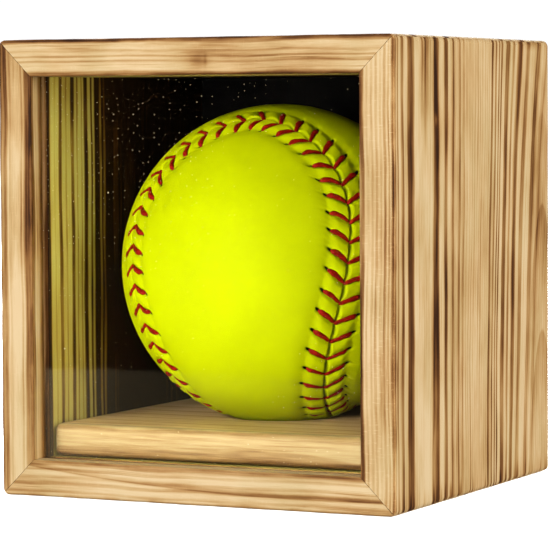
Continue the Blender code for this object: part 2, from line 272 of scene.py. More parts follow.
LEFT_BANDS = [
    (-8.6, 0.9, 0.62), (-6.9, 0.25, 0.30), (-3.4, 0.2, 0.16), (-2.0, 0.5, 0.30), (0.9, 0.8, 0.36),
    (4.6, 0.3, 0.12), (7.9, 1.0, 0.40), (11.2, 0.4, 0.16), (14.8, 1.0, 0.44), (17.5, 0.3, 0.26),
    (20.0, 0.3, 0.20), (22.5, 1.2, 0.58), (26.2, 0.5, 0.44), (29.6, 1.6, 0.62), (33.0, 0.4, 0.34),
    (37.0, 2.3, 0.72), (43.6, 0.4, 0.34), (46.0, 0.6, 0.44), (56.5, 1.5, 0.56), (60.6, 0.4, 0.34),
    (63.0, 0.4, 0.40), (69.5, 2.5, 0.74), (75.0, 0.5, 0.40), (78.2, 0.9, 0.50), (90.0, 0.5, 0.34),
    (96.5, 2.0, 0.62), (101.4, 0.5, 0.36), (109.5, 1.2, 0.38),
]
TOP_BANDS = [
    (-9.2, 0.4, 0.34), (-6.2, 0.2, 0.22), (-4.9, 0.15, 0.30), (-3.5, 0.2, 0.16),
    (-1.0, 0.3, 0.30), (3.5, 0.9, 0.50), (9.5, 0.7, 0.40), (15.0, 1.6, 0.72), (23.5, 0.6, 0.38),
    (30.0, 1.1, 0.58), (38.5, 2.0, 0.80), (47.0, 0.8, 0.44), (55.0, 0.5, 0.30), (72.0, 0.6, 0.34),
    (80.0, 1.3, 0.60), (88.5, 1.0, 0.55), (97.0, 2.1, 0.76), (107.0, 0.7, 0.40),
    (114.0, 0.9, 0.44),
]
BOTTOM_BANDS = [
    (-8.8, 0.4, 0.30), (-7.3, 0.2, 0.22), (-5.2, 0.3, 0.16), (-3.6, 0.4, 0.30), (-1.4, 0.3, 0.26),
    (4.0, 0.6, 0.44), (11.0, 1.5, 0.70), (20.5, 0.6, 0.36), (28.0, 1.0, 0.52), (36.0, 0.6, 0.40),
    (52.0, 1.8, 0.70), (63.0, 0.7, 0.36), (74.0, 1.2, 0.58), (86.0, 0.8, 0.42), (95.0, 1.9, 0.72),
    (109.0, 0.9, 0.44),
]
BASE_BANDS = [
    (3.0, 0.5, 0.16), (7.0, 0.4, 0.20), (11.5, 0.8, 0.14), (19.0, 0.6, 0.20), (27.0, 1.2, 0.16),
    (38.0, 0.7, 0.22), (46.0, 1.4, 0.16), (58.0, 0.8, 0.20), (70.0, 1.0, 0.18), (84.0, 0.7, 0.20),
]
BANDS_IN_RAMP = 7
BAND_EDGE = 0.55
RING_SLOPE = 0.9
BOARD_DEPTH = BOARD_THICKNESS / MM


def band_darkness(g, ring, bands):
    """Darkness of the bold bands at this ring coordinate, from ramps that hold a few bands each."""
    total = 0.0
    for first in range(0, len(bands), BANDS_IN_RAMP):
        part = bands[first : first + BANDS_IN_RAMP]
        low = part[0][0] - part[0][1] - 3
        high = part[-1][0] + part[-1][1] + 3
        stops = []
        for centre, half, darkness in part:
            soft = half * 1.05 + BAND_EDGE * 0.5
            inner = half * 0.45
            stops += [(centre - soft, 0.0), (centre - inner, darkness * 0.9)]
            stops += [(centre + inner, darkness), (centre + soft * 1.15, 0.0)]
        stops = [((place - low) / (high - low), level) for place, level in stops]
        for index in range(1, len(stops)):
            if stops[index][0] <= stops[index - 1][0]:
                stops[index] = (stops[index - 1][0] + 0.0005, stops[index][1])
        share = g.math("DIVIDE", ring - low, high - low, clamp=True)
        total = total + g.ramp(share, stops, "EASE")
    return total


def edge_nearness(g, x, z, depth):
    """Sum of the two smallest distances to the case's outer planes, in mm: small near its edges."""
    side = CASE_WIDTH / MM / 2 - g.math("ABSOLUTE", x)
    level = g.math("MINIMUM", z, CASE_HEIGHT / MM - z)
    deep = g.math("MINIMUM", depth, CASE_DEPTH / MM - depth)
    nearest = g.math("MINIMUM", side + level, side + deep)
    return g.math("MINIMUM", nearest, level + deep)


def board_axes(g, board):
    """(x, z, depth, across, along) in mm; across runs into the board from its outer face."""
    x, y, z = g.place()
    depth = y - FRONT_Y / MM
    half_width = CASE_WIDTH / MM / 2
    if board in ("left", "right"):
        return x, z, depth, x * (1.0 if board == "left" else -1.0) + half_width, z
    return x, z, depth, z if board == "bottom" else CASE_HEIGHT / MM - z, x + half_width


def inner_face(g, across):
    """1 on a board's inner face and 0 in its wood."""
    return g.smooth(across, BOARD_DEPTH - 0.5, BOARD_DEPTH - 0.1)


def growth_lines(g, axes, ring, uneven, seed, fine):
    """(growth rings, hair-thin streaks) between the bold bands; fine is where there are more."""
    _, _, depth, _, along = axes
    wander = g.noise((ring * 0.2, along * 0.006, seed + 11.0))
    wave = g.math("SINE", ring * 3.6 + wander * 9.0)
    line = g.math("POWER", g.smooth(wave, -1.0, 1.0), 1.7)
    amount = g.noise((ring * 0.35, along * 0.02, seed + 13.0), detail=1.0)
    rings = line * g.smooth(amount, 0.35, 0.75, 0.03, 0.17) * g.smooth(depth, 0.0, 1.0, 0.20, 1.0)
    hair = g.noise((ring * 1.7, along * 0.011, seed + 17.0), detail=3.0, roughness=0.7)
    hair = g.smooth(hair, 0.52, 0.70) * g.smooth(uneven, 0.38, 0.62, 0.25, 1.3)
    strength = 0.07 + g.smooth(depth, 1.2, 0.1, 0.0, 0.16)
    if fine:
        centre, width, more = fine
        close = g.bell(ring, centre, width)
        rings = rings * (1.0 + close * more)
        strength = strength + close * (more * 0.13)
    return rings, hair * strength


def burnt_edges(g, axes, burn):
    """Char on a board's outer edges and its inner front edge, broken up along their length."""
    x, z, depth, across, _ = axes
    blotch = g.noise((x * 0.09, depth * 0.09, z * 0.09), detail=4.0)
    reach = g.smooth(blotch, 0.32, 0.72, 1.1, 1.6)
    flicker = g.smooth(blotch, 0.30, 0.65, 0.88, 1.0)
    outer = edge_nearness(g, x, z, depth) / reach
    inner = (g.math("ABSOLUTE", BOARD_DEPTH - across) + depth) / (reach * 0.75)
    char = g.smooth(outer, 1.0, 0.1) * flicker * (0.46 * burn)
    return char + g.smooth(inner, 1.0, 0.1) * flicker * 0.42


def painted_inner_shade(g, axes, face, within):
    """Painted shade: the inside darker towards the back and the top, and darker in and round the
    groove of the pane.
    """
    _, z, depth, across, _ = axes
    deep = g.smooth(depth, 32.5, 53.0, 0.0, 0.90)
    inside = within * (deep + g.smooth(z, 106.0, 123.0, 0.0, 0.14))
    painted_groove_shade = g.bell(depth, (GROOVE_SETBACK + GROOVE_WIDTH / 2) / MM, 2.2) * 0.85
    painted_groove_shade = painted_groove_shade * g.smooth(across, 5.0, 6.0) * (1.0 - face * g.smooth(depth, 10.0, 10.6))
    return inside + painted_groove_shade


def saw_marks(g, axes, board):
    """Pale saw marks across the grain of the front face."""
    x, z, depth, *_ = axes
    upright = board in ("left", "right")
    place = (x * 0.30, 0.0, z * 2.6) if upright else (x * 2.6, 0.0, z * 0.30)
    marks = g.smooth(g.noise(place, detail=3.0, roughness=0.7), 0.56, 0.70)
    return marks * g.smooth(depth, 0.8, 0.1) * (-0.20 if board == "right" else -0.05)


def pine_color(g, axes, dark, within):
    """Pine of this darkness, olive in places and rosy in others, and tinted olive inside the case
    as painted light bounced from the yellow ball.
    """
    x, z, depth, *_ = axes
    golden = g.ramp(dark, PINE)
    tint = g.noise((x * 0.05, depth * 0.09, z * 0.03))
    olive = g.mix(0.35, golden, (0.55, 0.62, 0.36), "MULTIPLY")
    rosy = g.mix(0.5, golden, tone(226, 160, 96), "MULTIPLY")
    color = g.mix(g.smooth(tint, 0.42, 0.72, 0.0, 0.55), golden, olive)
    color = g.mix(g.smooth(tint, 0.48, 0.25, 0.0, 0.20), color, rosy)
    # Painted light: the inner faces behind the groove take the ball's yellow bounce as an olive
    # tint.
    return g.mix(within * 0.85, color, (0.47, 0.54, 0.10), "MULTIPLY")


def wood(board, bands, seed, figure, burn, fine=None):
    """Torched pine for one board. figure(g, axes, ring) is the darkness of its own figure."""
    g = Graph("torched pine " + board)
    axes = board_axes(g, board)
    _, _, depth, across, along = axes
    face = inner_face(g, across)
    within = face * g.smooth(depth, 5.0, 8.0)
    # Slow sway and finer quiver of the bands along the grain.
    sway = (g.noise((depth * 0.055, along * 0.016, seed), detail=1.0) - 0.5) * 2.6
    quiver = (g.noise((depth * 0.25, along * 0.045, seed + 3.0)) - 0.5) * 0.6
    ring = depth - across * RING_SLOPE + sway + quiver
    if board == "right":
        ring = ring - right_lean(g, depth, along)
    uneven = g.noise((ring * 0.22, along * 0.028, seed + 7.0))
    bold = band_darkness(g, ring, bands) * g.smooth(uneven, 0.25, 0.72, 0.62, 1.18)
    rings, hairs = growth_lines(g, axes, ring, uneven, seed, fine)
    # Fibres and short resin dashes along the grain, and uneven toasting over the whole face.
    fibre = g.noise((depth * 1.5, across * 1.5, along * 0.09 + seed), detail=4.0, roughness=0.75)
    fibre = (fibre - 0.5) * 0.44
    grit = g.noise((depth * 7.0, across * 7.0, along * 0.55 + seed), roughness=0.6)
    dash = g.smooth(grit, 0.66, 0.78) * 0.16
    toast = g.noise((depth * 0.06, across * 0.06, along * 0.022 + seed), detail=3.0)
    toast = g.smooth(toast, 0.30, 0.75, -0.06, 0.24)
    dark = bold * (1.0 + within * 0.75) + (rings + hairs) * (1.0 - within * 0.72)
    dark = dark + fibre + dash + toast + burnt_edges(g, axes, burn) + saw_marks(g, axes, board)
    # painted_inner_shade adds painted shade inside the case and round the pane's groove.
    dark = dark + painted_inner_shade(g, axes, face, within) + figure(g, axes, ring)
    dark = g.math("ADD", dark, 0.01, clamp=True)
    height = bold * 0.5 + rings * 0.8 + fibre * 0.9 + grit * 0.25
    shader = g.principled(
        Base_Color=pine_color(g, axes, dark, within),
        Roughness=g.smooth(dark + grit * 0.3, 0.0, 1.1, 0.50, 0.66),
        Specular_IOR_Level=0.12,
        Normal=g.bump(height, 0.10 * MM, 0.55),
    )
    return g.finish(shader)


def right_lean(g, depth, along):
    """How far the right board's bands lean from upright at this height, in mm."""
    rise = (along - 67.0) / 67.0
    back = g.math("MAXIMUM", depth - 15.0, 0.0)
    lean = back * back * 0.00078 + g.bell(depth, 24.0, 4.2) * 1.7
    return lean * (rise + rise * rise * 0.3)


def right_figure(g, axes, ring):
    """A soft flame near the top, the arches of the flat-sawn rear, smudges, and a painted sheen
    that lightens the top of the rear.
    """
    _, z, depth, *_ = axes
    streak = g.noise((depth * 0.9, z * 0.03, 2.0))
    total = g.bell(ring, 20.5, 2.8) * g.smooth(z, 88.0, 134.0) * g.smooth(streak, 0.3, 0.65) * 0.72
    bow = depth - 112.5
    arch = z + bow * bow * 0.30
    rear = g.smooth(depth, 101.0, 106.0)
    for top, strength in ((84.0, 0.17), (45.0, 0.20), (112.0, 0.08)):
        below = top - arch
        total = total + g.smooth(below, -0.5, 1.2) * g.smooth(below, 26.0, 1.0) * rear * strength
    plain = g.smooth(depth, 100.0, 108.0) * 0.14 + g.bell(ring, 58.0, 13.0) * 0.10
    smudge = g.bell(depth, 104.0, 6.0) * g.smooth(z, 130.0, 134.0) * 0.35
    scallop = g.noise((depth * 0.42, 0.0, 4.0), detail=1.0)
    foot = g.smooth(z, 7.0, 0.5) * g.smooth(scallop, 0.42, 0.66) * 0.35
    knot = g.bell(ring, 28.6, 1.2) * g.bell(z, 110.0, 1.8) * -0.35
    # Painted sheen: lighter towards the top of the rear.
    painted_sheen = g.bell(depth, 112.0, 4.5) * g.smooth(z, 118.0, 131.0) * -0.16
    return total + plain + smudge + foot + knot + painted_sheen


def left_figure(g, axes, ring):
    """A stile that is browner towards its top, and a paler strip with a darker line just behind the
    pane's groove.
    """
    _, z, depth, across, _ = axes
    strip = g.bell(depth, 2.2, 1.6) * -0.14 + g.bell(depth, 5.2, 1.2) * 0.36
    lip = g.bell(depth, (GROOVE_SETBACK + GROOVE_WIDTH) / MM + 0.5, 1.0) * 0.65
    top = g.smooth(z, 98.0, 112.0) * g.smooth(depth, 8.0, 0.0) * 0.20
    stile = g.smooth(depth, 3.0, 0.0) * g.smooth(across, 3.0, 1.2) * 0.28
    return top + stile + (strip + lip) * inner_face(g, across)


def top_figure(g, axes, ring):
    """The front of the top rail: a small knot, two drifting streaks and a toasted upper edge."""
    x, z, depth, across, _ = axes
    knot = g.bell(x, 2.8, 3.4) * g.bell(z, 127.0, 2.4) * 0.32
    check = g.bell(x, 5.0, 0.5) * g.bell(z, 127.2, 1.8) * 0.14
    edge = g.smooth(across, 1.6, 0.2, 0.07, 0.36)
    drift = z - 129.4 + x * 0.045
    broken = g.smooth(g.noise((x * 0.07, z * 0.8, 5.0), detail=3.0), 0.36, 0.60)
    streak = (g.bell(drift, 0.0, 0.4) * 0.17 + g.bell(drift, 2.4, 0.4) * 0.14) * broken
    return (knot + check + edge + streak) * g.smooth(depth, 4.0, 0.0)


def bottom_figure(g, axes, ring):
    """The front of the bottom rail, with an ochre arc, and the pale strip before the pane."""
    x, z, depth, across, _ = axes
    inner = g.bell(z, 9.8, 0.9) * g.smooth(x, -30.0, 60.0) * 0.26 + g.bell(z, 7.3, 1.0) * -0.12
    bow = x - 35.0
    drift = z - (bow * bow * 0.0007 + 4.2)
    ochre = g.bell(drift, 0.0, 0.7) * 0.24 + g.bell(drift, -0.6, 0.25) * 0.22
    strip = g.bell(depth, 3.0, 2.2) * -0.75 + g.bell(depth, 6.2, 0.5) * 0.3
    return (inner + ochre) * g.smooth(depth, 4.0, 0.0) + strip * inner_face(g, across)


# Mesh helpers


def centre_of(node):
    low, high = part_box(node)
    return (low + high) / 2


def new_object(name, data):
    made = bpy.data.objects.new(name, data)
    bpy.context.scene.collection.objects.link(made)
    return made


def add_piece(name, mesh, material, body, node):
    """Links a mesh in row-frame metres as a piece that rides on a body, for a CAD node."""
    piece = new_object(name, mesh)
    mesh.materials.clear()
    mesh.materials.append(material)
    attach(piece, body)
    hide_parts(node)


def mesh_of(name, points, faces, sharp):
    """A mesh with outward faces and smooth shading, sharp only past the given angle in degrees."""
    mesh = bpy.data.meshes.new(name)
    mesh.from_pydata([tuple(p) for p in points], [], faces)
    tidy_mesh(mesh)
    mesh.shade_smooth()
    mesh.set_sharp_from_angle(angle=math.radians(sharp))
    return mesh


def tidy_mesh(mesh):
    bm = bmesh.new()
    bm.from_mesh(mesh)
    bmesh.ops.remove_doubles(bm, verts=bm.verts, dist=2e-7)
    bmesh.ops.dissolve_degenerate(bm, edges=bm.edges, dist=1e-7)
    bmesh.ops.recalc_face_normals(bm, faces=bm.faces)
    bm.to_mesh(mesh)
    bm.free()


def carve(mesh, cutters, sharp):
    """The mesh with cutter meshes taken away."""
    tools = []
    obj = new_object("carved", mesh)
    for cutter in cutters:
        tools.append(new_object("cutter", cutter))
        modifier = obj.modifiers.new("cut", "BOOLEAN")
        modifier.operation = "DIFFERENCE"
        modifier.solver = "EXACT"
        modifier.object = tools[-1]
    bpy.context.view_layer.update()
    evaluated = obj.evaluated_get(bpy.context.evaluated_depsgraph_get())
    result = bpy.data.meshes.new_from_object(evaluated)
    for gone in [obj, *tools]:
        bpy.data.objects.remove(gone, do_unlink=True)
    result.shade_smooth()
    result.set_sharp_from_angle(angle=math.radians(sharp))
    return result


def tube_faces(rings, sides, first=0, capped=True):
    """Quads between successive rings of points, and end caps."""
    faces = []
    for low in range(first, first + (rings - 1) * sides, sides):
        for side in range(sides):
            after = (side + 1) % sides
            faces.append((low + side, low + after, low + sides + after, low + sides + side))
    if capped:
        last = first + (rings - 1) * sides
        faces += [tuple(range(first, first + sides)), tuple(reversed(range(last, last + sides)))]
    return faces


def turned(name, profile, centre, sides):
    """A body of revolution about +Y through centre; profile lists (radius, distance along +Y)."""
    points = []
    for radius, reach in profile:
        for side in range(sides):
            angle = math.tau * side / sides
            offset = Vector((radius * math.cos(angle), reach, radius * math.sin(angle)))
            points.append(centre + offset)
    faces = tube_faces(len(profile), sides, capped=profile[0] != profile[-1])
    return mesh_of(name, points, faces, 35)


def rounded(corners, radius, steps=4):
    """Profile corners (radius, reach) with each inner corner replaced by a small arc-like blend."""
    path = [corners[0]]
    for before, corner, after in zip(corners, corners[1:], corners[2:]):
        here = Vector(corner)
        back = Vector(before) - here
        ahead = Vector(after) - here
        cut = min(radius, back.length * 0.45, ahead.length * 0.45)
        start = here + back.normalized() * cut
        end = here + ahead.normalized() * cut
        for step in range(steps + 1):
            share = step / steps
            point = start * (1 - share) ** 2 + here * 2 * share * (1 - share) + end * share**2
            path.append((point.x, point.y))
    return path + [corners[-1]]


# Case boards

ARC_STEPS = 7
RUN_STEPS = 84
ARC_SHARE = 0.012


def quarter_inset(distance, radius):
    """How far a rounded edge stands back, at this distance from the end of the board."""
    if distance >= radius:
        return 0.0
    return radius - math.sqrt(radius**2 - (radius - distance) ** 2)


def edge_distances(radius, steps=7):
    return [radius * (1 - math.cos(math.pi / 2 * step / steps)) for step in range(steps + 1)]


def spread(start, end, count):
    return [start + (end - start) * step / count for step in range(1, count)]


def section_loop():
    """The board's section as (depth, outer inset, inner thickness, share); share is 1 inside."""
    full = BOARD_THICKNESS
    grooved = full - GROOVE_DEPTH
    rabbeted = full - RABBET_WIDTH
    groove_end = GROOVE_SETBACK + GROOVE_WIDTH
    shoulder = SHOULDER_Y - FRONT_Y
    outer = edge_distances(FRONT_EDGE_RADIUS)
    outer += spread(FRONT_EDGE_RADIUS, CASE_DEPTH - REAR_EDGE_RADIUS, 56)
    outer += [CASE_DEPTH - distance for distance in reversed(edge_distances(REAR_EDGE_RADIUS))]
    loop = []
    for depth in outer:
        inset = max(
            quarter_inset(depth, FRONT_EDGE_RADIUS),
            quarter_inset(CASE_DEPTH - depth, REAR_EDGE_RADIUS),
        )
        loop.append((depth, inset, full, 0.0))
    loop += [(CASE_DEPTH, REAR_EDGE_RADIUS, rabbeted - REAR_EDGE_RADIUS, s) for s in (0.33, 0.66)]
    for distance in edge_distances(REAR_EDGE_RADIUS):
        thickness = rabbeted - quarter_inset(distance, REAR_EDGE_RADIUS)
        loop.append((CASE_DEPTH - distance, 0.0, thickness, 1.0))
    for depth in spread(CASE_DEPTH - REAR_EDGE_RADIUS, shoulder, 4):
        loop.append((depth, 0.0, rabbeted, 1.0))
    loop += [(shoulder, 0.0, rabbeted, 1.0), (shoulder, 0.0, full, 1.0)]
    for depth in spread(shoulder, groove_end, 32):
        loop.append((depth, 0.0, full, 1.0))
    loop += [(groove_end, 0.0, full, 1.0), (groove_end, 0.0, grooved, 1.0)]
    loop += [(GROOVE_SETBACK, 0.0, grooved, 1.0), (GROOVE_SETBACK, 0.0, full, 1.0)]
    for depth in spread(GROOVE_SETBACK, INNER_EDGE_RADIUS, 4):
        loop.append((depth, 0.0, full, 1.0))
    for distance in reversed(edge_distances(INNER_EDGE_RADIUS, 5)):
        loop.append((distance, 0.0, full - quarter_inset(distance, INNER_EDGE_RADIUS), 1.0))
    rim = (0.0, FRONT_EDGE_RADIUS, full - INNER_EDGE_RADIUS)
    loop += [(*rim, 1 - step / 12) for step in range(1, 12)]
    return loop


def outer_point(length, inset, index):
    """(along, inward) on the outer outline: rounded corner, long straight, rounded corner."""
    count = 2 * ARC_STEPS + RUN_STEPS
    mirrored = index > count / 2
    step = count - index if mirrored else index
    radius = CORNER_RADIUS - inset
    centre = -length / 2 + CORNER_RADIUS
    first = math.radians(225) + math.asin(MITRE_GAP / 2 / radius)
    share = min(step / ARC_STEPS, 1.0)
    angle = first + (math.radians(270) - first) * share
    along = centre + radius * math.cos(angle)
    if step > ARC_STEPS:
        along = centre - 2 * centre * (step - ARC_STEPS) / RUN_STEPS
    return (-along if mirrored else along), CORNER_RADIUS + radius * math.sin(angle)


def inner_point(length, thickness, index):
    count = 2 * ARC_STEPS + RUN_STEPS
    start = -length / 2 + thickness + MITRE_GAP / 2 * math.sqrt(2)
    if index <= ARC_STEPS:
        share = ARC_SHARE * index / ARC_STEPS
    elif index >= count - ARC_STEPS:
        share = 1 - ARC_SHARE * (count - index) / ARC_STEPS
    else:
        share = ARC_SHARE + (1 - 2 * ARC_SHARE) * (index - ARC_STEPS) / RUN_STEPS
    return start * (1 - 2 * share), thickness


def sanded(point, normal, seed):
    """Hand-sanding: a point near the outer edges is pushed inwards by a slow noise."""
    planes = (
        CASE_WIDTH / 2 - abs(point.x),
        min(point.z, CASE_HEIGHT - point.z),
        min(point.y - FRONT_Y, REAR_Y - point.y),
    )
    nearness = sum(sorted(planes)[:2]) / MM
    slow = noise.noise(point / (9 * MM) + Vector((seed, 0, 0)))
    fast = noise.noise(point / (2.6 * MM) + Vector((0, seed, 0)))
    amount = max(0.0, 0.45 + 0.9 * slow + 0.35 * fast) * math.exp(-((nearness / 1.6) ** 2))
    ripple = 0.10 * (0.5 + 0.5 * noise.noise(point / (14 * MM)))
    return point - normal * SANDING_DEPTH * (amount + ripple)


def board_mesh(name, length, place, degrees, seed, pockets):
    turn = Matrix.Translation(place) @ Matrix.Rotation(math.radians(degrees), 4, "Y")
    loop = section_loop()
    count = 2 * ARC_STEPS + RUN_STEPS
    points = []
    for index in range(count + 1):
        for depth, inset, thickness, share in loop:
            outside = Vector(outer_point(length, inset, index))
            inside = Vector(inner_point(length, thickness, index))
            along, inward = outside.lerp(inside, share)
            points.append(turn @ Vector((along, depth, inward)))
    mesh = mesh_of(name, points, tube_faces(count + 1, len(loop)), 32)
    places = [sanded(v.co, v.normal, seed) for v in mesh.vertices]
    for vertex, place in zip(mesh.vertices, places):
        vertex.co = place
    mesh.update()
    radius = MAGNET_RADIUS + POCKET_PLAY
    deep = MAGNET_LENGTH + MAGNET_SINK + POCKET_PLAY
    cutters = []
    for pocket in pockets:
        centre = Vector((pocket.x, SHOULDER_Y, pocket.z))
        cutters.append(turned("pocket", [(radius, -deep), (radius, deep)], centre, 32))
    return carve(mesh, cutters, 32) if cutters else mesh


def build_case():
    looks = {
        "left": wood("left", LEFT_BANDS, 4.0, left_figure, 0.9),
        "right": wood("right", RIGHT_BANDS, 9.0, right_figure, 1.2, fine=(56.0, 9.0, 1.1)),
        "top": wood("top", TOP_BANDS, 15.0, top_figure, 1.25),
        "bottom": wood("bottom", BOTTOM_BANDS, 21.0, bottom_figure, 1.15),
    }
    middle = CASE_HEIGHT / 2
    places = {
        "bottom": (CASE_WIDTH, (0, FRONT_Y, 0), 0),
        "right": (CASE_HEIGHT, (CASE_WIDTH / 2, FRONT_Y, middle), -90),
        "top": (CASE_WIDTH, (0, FRONT_Y, CASE_HEIGHT), 180),
        "left": (CASE_HEIGHT, (-CASE_WIDTH / 2, FRONT_Y, middle), 90),
    }
    for seed, (side, (length, place, degrees)) in enumerate(places.items()):
        pockets = []
        if side in ("left", "right"):
            pockets = [centre_of(f"case_magnet_{side}_{level}") for level in ("lower", "upper")]
        mesh = board_mesh(side + " board", length, Vector(place), degrees, 5.0 * seed, pockets)
        add_piece(f"{side}_board_pine", mesh, looks[side], "case", side + "_board")


# Pane

# Top of the painted floor reflection on the pane, in mm.
PAINTED_REFLECTION_TOP = 37.5


def speck_mask(g, x, z, cell, chosen, size, seed):
    """Round specks, one in each chosen cell of a scattered pattern in the pane's plane, in mm."""
    inputs = {"Vector": (x + seed, z, 0.0), "Scale": 1 / cell}
    made = g.node("TexVoronoi", {"voronoi_dimensions": "2D"}, inputs)
    split = g.node("SeparateColor", inputs={0: Value(g, made.outputs["Color"])})
    lot, bulk = (Value(g, channel) for channel in split.outputs[:2])
    radius = (bulk + 0.25) * (size / cell)
    near = g.smooth(Value(g, made.outputs["Distance"]) / radius, 1.0, 0.6)
    return near * g.math("GREATER_THAN", lot, 1.0 - chosen)


def pane_material():
    g = Graph("clear acrylic with dust")
    x, y, z = g.place()
    clear = g.principled(
        Base_Color=(0.97, 0.985, 0.98),
        Roughness=0.0,
        IOR=1.04,
        Specular_IOR_Level=0.5,
        Transmission_Weight=1.0,
    )
    shadow = g.output("LightPath", key="Is Shadow Ray")
    through = g.output("BsdfTransparent", inputs={0: (0.97, 0.98, 0.975)})
    clear = g.output("MixShader", inputs={0: shadow, 1: clear, 2: through})
    upper = g.smooth(z, 50.0, 105.0) * g.smooth(x, 35.0, -25.0)
    fine = speck_mask(g, x, z, 1.7, upper * 0.42 + 0.07, 0.12, 3.0)
    coarse = speck_mask(g, x, z, 7.5, g.smooth(x, 10.0, -45.0) * 0.08 + 0.02, 0.24, 8.0)
    # A painted reflection of the floor: a faint pale veil on the lower pane with a wavy upper edge,
    # stronger to the left.
    painted_reflection_edge = z + (g.noise((x * 0.05, 0.0, 0.0)) - 0.5) * 3.0
    painted_floor_reflection = g.smooth(x, 20.0, -30.0, 0.005, 0.018) + g.smooth(x, -24.0, -52.0, 0.0, 0.05)
    painted_floor_reflection = painted_floor_reflection * g.smooth(painted_reflection_edge, PAINTED_REFLECTION_TOP + 1.0, PAINTED_REFLECTION_TOP - 1.0)
    # The mask holds the real dust specks and the painted floor reflection.
    dust_and_painted_reflection_mask = g.math("ADD", g.math("MAXIMUM", fine, coarse), painted_floor_reflection, clamp=True)
    dust_and_painted_reflection_mask = dust_and_painted_reflection_mask * g.math("LESS_THAN", y, (PANE_FRONT_Y + 0.4 * MM) / MM)
    # One pale diffuse look serves the dust and the painted reflection.
    dust_and_painted_reflection = g.principled(Base_Color=tone(236, 216, 168), Roughness=0.9, Specular_IOR_Level=0.1)
    return g.finish(g.output("MixShader", inputs={0: dust_and_painted_reflection_mask, 1: clear, 2: dust_and_painted_reflection}))


# Base board


def eased_ticks(low, high, count):
    """Grid places along one axis of the slab, closer together over its rounded edges."""
    rise = edge_distances(BASE_ROUNDING, 5)[:-1]
    start, end = low + BASE_ROUNDING, high - BASE_ROUNDING
    ticks = [low + step for step in rise]
    ticks += [start, *spread(start, end, count), end]
    return ticks + [high - step for step in reversed(rise)]


def base_mesh():
    """A slab with soft, hand-eased edges and a shallow dish under the ball."""
    low, high = BASE_LOW, BASE_HIGH
    bm = bmesh.new()
    grids = [eased_ticks(*ends) for ends in zip(low, high, (120, 112, 12))]
    for axis in range(3):
        first, second = (axis + 1) % 3, (axis + 2) % 3
        for value in (low[axis], high[axis]):
            rows = []
            for u in grids[first]:
                row = []
                for v in grids[second]:
                    point = Vector((0, 0, 0))
                    point[axis], point[first], point[second] = value, u, v
                    row.append(bm.verts.new(eased(point, low, high)))
                rows.append(row)
            for row, after in zip(rows, rows[1:]):
                for index in range(len(row) - 1):
                    bm.faces.new((row[index], row[index + 1], after[index + 1], after[index]))
    mesh = bpy.data.meshes.new("base board")
    bm.to_mesh(mesh)
    bm.free()
    tidy_mesh(mesh)
    mesh.shade_smooth()
    cutters = []
    radius = SCREW_SHANK + BORE_CLEARANCE
    for name in ("panel_screw_left", "panel_screw_right"):
        centre = centre_of(name)
        centre.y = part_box(name)[0].y - BORE_CLEARANCE
        cutters.append(turned("bore", [(radius, 0), (radius, BORE_LENGTH)], centre, 32))
    return carve(mesh, cutters, 38)


def eased(point, low, high):
    """A point of the slab's box, with the box's edges rounded unevenly and the dish pressed in."""
    wobble = 0.5 + 0.5 * noise.noise(point / (16 * MM) + Vector((3, 7, 1)))
    radius = BASE_ROUNDING * (0.86 + 0.14 * wobble)
    core = Vector([min(max(point[a], low[a] + radius), high[a] - radius) for a in range(3)])
    offset = point - core
    if offset.length > 0:
        point = core + offset.normalized() * min(radius, offset.length)
    if point.z > (low.z + high.z) / 2:
        flat = math.hypot(point.x - BALL_CENTRE.x, point.y - BALL_CENTRE.y)
        reach = BALL_RADIUS + DISH_CLEARANCE
        if flat < reach:
            floor = BALL_CENTRE.z - math.sqrt(reach**2 - flat**2)
            blend = 0.25 * MM
            share = min(max(0.5 + 0.5 * (floor - point.z) / blend, 0.0), 1.0)
            lowest = floor * (1 - share) + point.z * share - blend * share * (1 - share)
            point = Vector((point.x, point.y, min(lowest, point.z)))
    return point


def base_wood():
    g = Graph("base pine")
    x, y, z = g.place()
    depth = y - FRONT_Y / MM
    sway = (g.noise((x * 0.014, depth * 0.08, z * 0.10)) - 0.5) * 7.0
    ring = depth - BOARD_DEPTH + z * 0.55 + sway
    bold = band_darkness(g, ring, BASE_BANDS)
    streak = g.noise((x * 0.045, depth * 1.1, z * 1.1), detail=4.0, roughness=0.6)
    streak = g.smooth(streak, 0.35, 0.75, -0.02, 0.22)
    fibre = g.noise((x * 0.12, depth * 3.2, z * 3.2), detail=3.0, roughness=0.65)
    fibre = (fibre - 0.5) * 0.22
    # Painted shade: darker along the slab's lowest few mm, where it sits on the bottom board.
    under = g.smooth(z, 13.6, 11.2) * 0.34
    # Painted shade: the slab's front face is made darker and greyer.
    face = g.smooth(depth, 14.6, 12.6)
    dark = g.math("ADD", bold + streak + fibre + under + face * 0.06, 0.13, clamp=True)
    color = g.mix(0.15, g.ramp(dark, PINE), tone(214, 190, 112), "MULTIPLY")
    shader = g.principled(
        # The front face multiplied darker as painted shade.
        Base_Color=g.mix(face, color, (0.60, 0.64, 0.58), "MULTIPLY"),
        Roughness=g.smooth(dark, 0.0, 0.8, 0.48, 0.62),
        Specular_IOR_Level=0.22,
        Normal=g.bump(fibre + streak * 0.8, 0.10 * MM, 0.5),
    )
    return g.finish(shader)


# Black back, knob, screws and magnets


